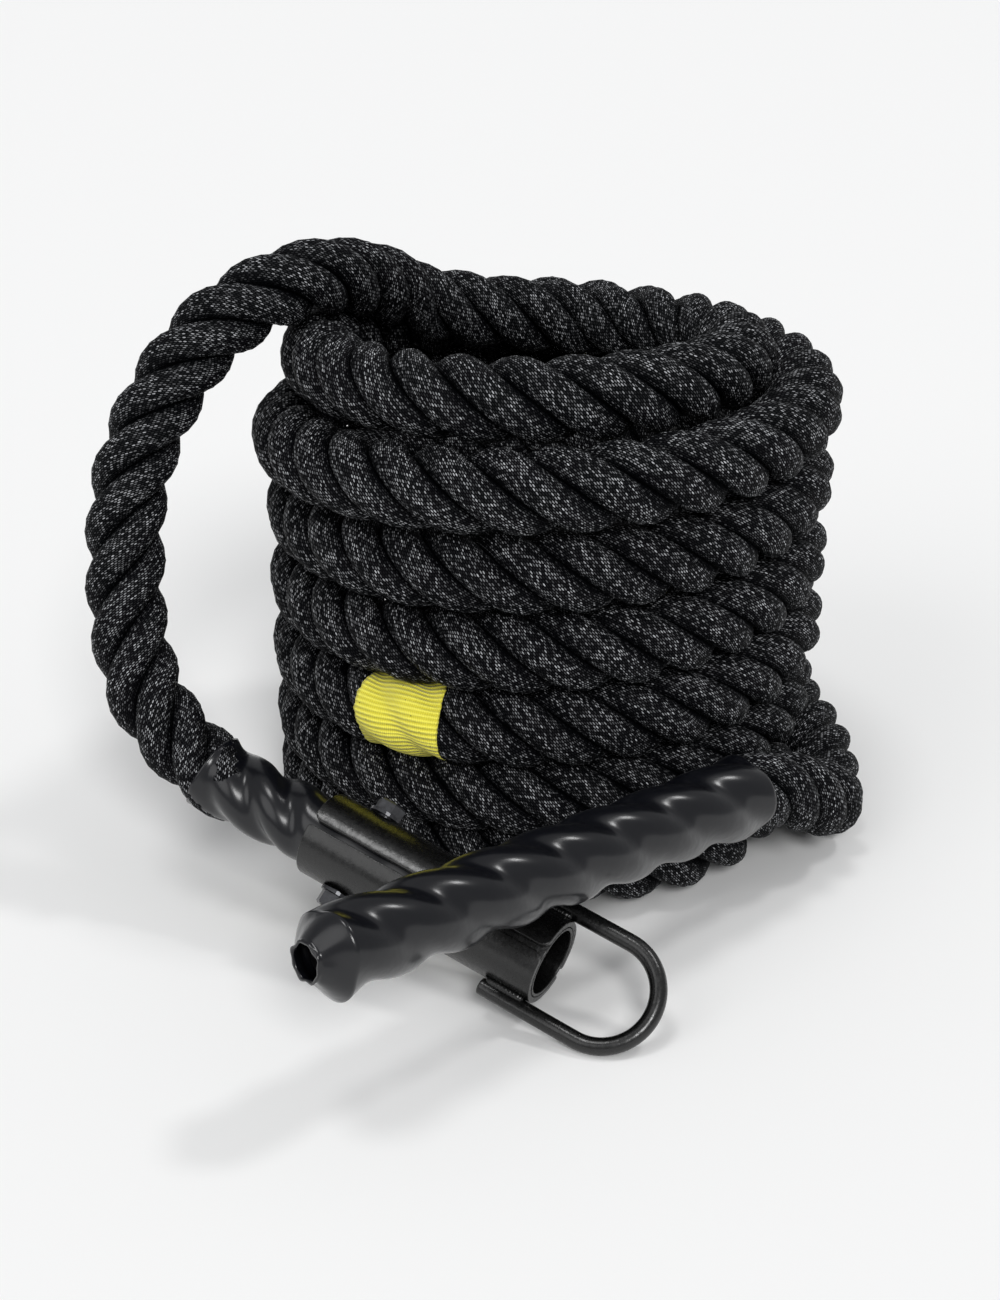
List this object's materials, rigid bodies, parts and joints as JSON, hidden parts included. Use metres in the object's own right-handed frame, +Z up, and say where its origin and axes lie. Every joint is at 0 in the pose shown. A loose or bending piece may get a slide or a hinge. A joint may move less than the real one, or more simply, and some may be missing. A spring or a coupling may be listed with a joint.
{
  "type": "sled pulling rope",
  "caption": "Fat twisted pulling rope standing in a coil, with a shrink-wrapped handle on one end and a bolted steel clamp with a welded pull loop on the other.",
  "frame": {"origin": "on the floor, at the middle of the whole object's bounding box", "axes": "+Z up, the coil's axis stands along it; +Y away from the side that the clamp and the handle lie on; +X to the right as seen from that side"},
  "size_m": [0.3904, 0.4954, 0.3021],
  "materials": {
    "rope_fibre": "woven black sleeve on each strand",
    "shrink_sleeve": "semi-gloss",
    "marker_cloth": "ribbed woven cloth",
    "end_tape": "matt",
    "coated_steel": "gloss powder coat",
    "zinc_black_steel": "satin black"
  },
  "bodies": {
    "root": {"rope_coil": "rope_fibre", "rope_loop": "rope_fibre", "rope_tail": "rope_fibre", "rope_handle_core": "rope_fibre", "rope_clamp_core": "rope_fibre", "handle_grip": "shrink_sleeve", "clamp_shrink": "shrink_sleeve", "marker_band": "marker_cloth", "handle_end_tape": "end_tape", "clamp_end_tape": "end_tape", "upper_shell": "coated_steel", "lower_shell": "coated_steel", "mouth_ring": "coated_steel", "pull_loop": "coated_steel", "weld_upper_outer": "coated_steel", "weld_upper_inner": "coated_steel", "weld_lower_outer": "coated_steel", "weld_lower_inner": "coated_steel", "clamp_bolt": "zinc_black_steel", "head_washer": "zinc_black_steel", "nut_washer": "zinc_black_steel", "clamp_nut": "zinc_black_steel"}
  },
  "joints": []
}
